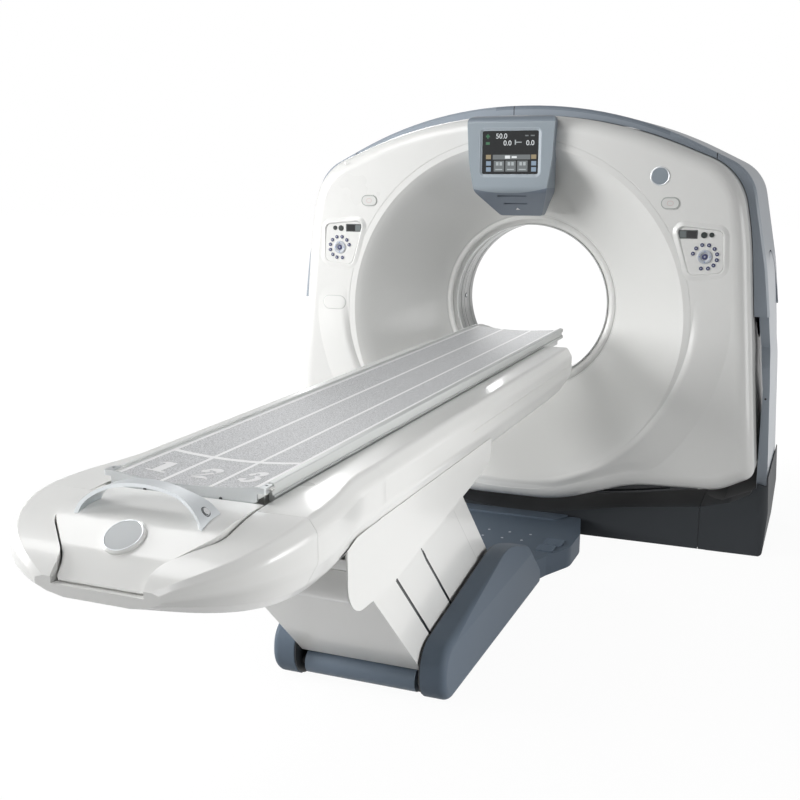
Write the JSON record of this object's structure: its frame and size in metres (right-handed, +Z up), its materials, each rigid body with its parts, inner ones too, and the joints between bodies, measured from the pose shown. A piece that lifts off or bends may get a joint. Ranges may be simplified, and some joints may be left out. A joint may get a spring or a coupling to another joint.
{
  "type": "ct scanner",
  "caption": "Medical imaging machine: a tilting ring-shaped gantry on side pylons, with a lifting patient table whose long cradle slides into the round opening.",
  "frame": {"origin": "on the floor, straight below the isocentre, at the centre of the four gantry anchor holes", "axes": "+X to the right seen from the table side, +Y from the table into the gantry along the scan axis, +Z up"},
  "size_m": [2.1938, 3.708, 1.883],
  "materials": {
    "cover_white": "smooth painted shell",
    "band_grey": "satin painted shell",
    "base_charcoal": "fine matt",
    "table_base_grey": "satin",
    "console_grey": "satin",
    "screen": "glossy dark panel",
    "light_window": "translucent look",
    "liner": "smooth",
    "keys": "smooth",
    "pedal": "ribbed",
    "frame_steel": "powder coat",
    "bearing_steel": "ground",
    "dark_steel": "enamel",
    "cast_alloy": "cast and machined",
    "cradle_shell": "smooth",
    "mat": "coated fabric",
    "rail": "satin",
    "bracket_metal": "satin",
    "handle_metal": "satin",
    "handle_key": "smooth"
  },
  "bodies": {
    "base": {"gantry_base_frame": "frame_steel", "base_middle_cover": "base_charcoal", "base_corner_cover_left": "base_charcoal", "base_corner_cover_right": "base_charcoal", "pylon_cover_left": "band_grey", "pylon_cover_right": "band_grey", "gantry_column_left": "frame_steel", "gantry_column_right": "frame_steel", "tilt_bearings": "bearing_steel", "table_base_plate": "frame_steel", "table_shoe_left": "table_base_grey", "table_shoe_right": "table_base_grey", "apron_cover": "table_base_grey"},
    "pedal_r1": {"pedal_right_1": "pedal"},
    "pedal_r2": {"pedal_right_2": "pedal"},
    "pedal_l1": {"pedal_left_1": "pedal"},
    "pedal_l2": {"pedal_left_2": "pedal"},
    "tilt": {"tilt_frame": "frame_steel", "front_cover": "cover_white", "rear_cover": "cover_white", "front_funnel": "cover_white", "rear_funnel": "cover_white", "top_band": "band_grey", "bore_liner": "liner", "display_console": "console_grey", "display_screen": "screen", "light_windows": "light_window", "panel_left": "cover_white", "panel_right": "cover_white", "lower_trays": "base_charcoal", "bearing_outer_ring": "bearing_steel", "spin_motor": "dark_steel"},
    "rotor": {"rotor_drum": "cast_alloy", "bearing_inner_ring": "bearing_steel", "xray_tube": "cast_alloy", "high_voltage_generator": "dark_steel", "detector_arc": "cast_alloy"},
    "front_link": {"crossbar": "dark_steel", "lift_arm_front": "frame_steel", "leg_cover_front": "cover_white"},
    "slat_a": {"leg_slats_a": "cover_white"},
    "slat_b": {"leg_slats_b": "cover_white"},
    "rear_link": {"lift_arm_rear": "frame_steel", "leg_cover_rear": "cover_white"},
    "table_top": {"table_frame": "frame_steel", "table_body_cover": "cover_white", "foot_beak": "cover_white", "knuckle_cover": "cover_white", "cradle_drive_unit": "dark_steel"},
    "cradle": {"cradle_board": "cradle_shell", "cradle_mat": "mat", "cradle_rails": "rail", "end_bracket": "bracket_metal", "foot_piece": "cover_white", "pull_handle": "handle_metal"},
    "handle_key": {"handle_button": "handle_key"},
    "btn_right_1": {"panel_button_right_1": "keys"},
    "btn_right_2": {"panel_button_right_2": "keys"},
    "btn_left_1": {"panel_button_left_1": "keys"},
    "btn_left_2": {"panel_button_left_2": "keys"}
  },
  "joints": [
    {"name": "gantry_tilt", "type": "hinge", "parent": "base", "child": "tilt", "pos_m": [0, 0, 1.024], "axis": [-1, 0, 0], "range_deg": [-30, 30]},
    {"name": "rotor_spin", "type": "hinge", "parent": "tilt", "child": "rotor", "pos_m": [0, 0, 1.024], "axis": [0, 1, 0], "continuous": true},
    {"name": "table_lift", "type": "hinge", "parent": "base", "child": "front_link", "pos_m": [0, -1.993, 0.06], "axis": [-1, 0, 0], "range_deg": [-31, 6.5]},
    {"name": "slat_a_swing", "type": "hinge", "parent": "base", "child": "slat_a", "pos_m": [0, -1.768, 0.066], "axis": [-1, 0, 0], "range_deg": [-31, 6.5]},
    {"name": "slat_b_swing", "type": "hinge", "parent": "base", "child": "slat_b", "pos_m": [0, -1.478, 0.072], "axis": [-1, 0, 0], "range_deg": [-31, 6.5]},
    {"name": "rear_link_swing", "type": "hinge", "parent": "base", "child": "rear_link", "pos_m": [0, -1.243, 0.08], "axis": [-1, 0, 0], "range_deg": [-31, 6.5]},
    {"name": "table_level", "type": "hinge", "parent": "front_link", "child": "table_top", "pos_m": [0, -2.6294, 0.6964], "axis": [-1, 0, 0], "range_deg": [-6.5, 31]},
    {"name": "cradle_slide", "type": "slide", "parent": "table_top", "child": "cradle", "axis": [0, 1, 0], "range_m": [0, 1.7]},
    {"name": "handle_key_press", "type": "slide", "parent": "cradle", "child": "handle_key", "axis": [-0.7518, 0, -0.6594], "range_m": [0, 0.0018], "stiffness_N_per_m": 900},
    {"name": "pedal_right_1_press", "type": "slide", "parent": "base", "child": "pedal_r1", "axis": [0, 0, -1], "range_m": [0, 0.005], "stiffness_N_per_m": 4000},
    {"name": "pedal_right_2_press", "type": "slide", "parent": "base", "child": "pedal_r2", "axis": [0, 0, -1], "range_m": [0, 0.005], "stiffness_N_per_m": 4000},
    {"name": "pedal_left_1_press", "type": "slide", "parent": "base", "child": "pedal_l1", "axis": [0, 0, -1], "range_m": [0, 0.005], "stiffness_N_per_m": 4000},
    {"name": "pedal_left_2_press", "type": "slide", "parent": "base", "child": "pedal_l2", "axis": [0, 0, -1], "range_m": [0, 0.005], "stiffness_N_per_m": 4000},
    {"name": "panel_button_right_1_press", "type": "slide", "parent": "tilt", "child": "btn_right_1", "axis": [0, 1, 0], "range_m": [0, 0.003], "stiffness_N_per_m": 900},
    {"name": "panel_button_right_2_press", "type": "slide", "parent": "tilt", "child": "btn_right_2", "axis": [0, 1, 0], "range_m": [0, 0.003], "stiffness_N_per_m": 900},
    {"name": "panel_button_left_1_press", "type": "slide", "parent": "tilt", "child": "btn_left_1", "axis": [0, 1, 0], "range_m": [0, 0.003], "stiffness_N_per_m": 900},
    {"name": "panel_button_left_2_press", "type": "slide", "parent": "tilt", "child": "btn_left_2", "axis": [0, 1, 0], "range_m": [0, 0.003], "stiffness_N_per_m": 900}
  ],
  "couplings": [
    {"joint": "slat_a_swing", "follows": "table_lift", "ratio": 1},
    {"joint": "slat_b_swing", "follows": "table_lift", "ratio": 1},
    {"joint": "rear_link_swing", "follows": "table_lift", "ratio": 1},
    {"joint": "table_level", "follows": "table_lift", "ratio": -1}
  ]
}
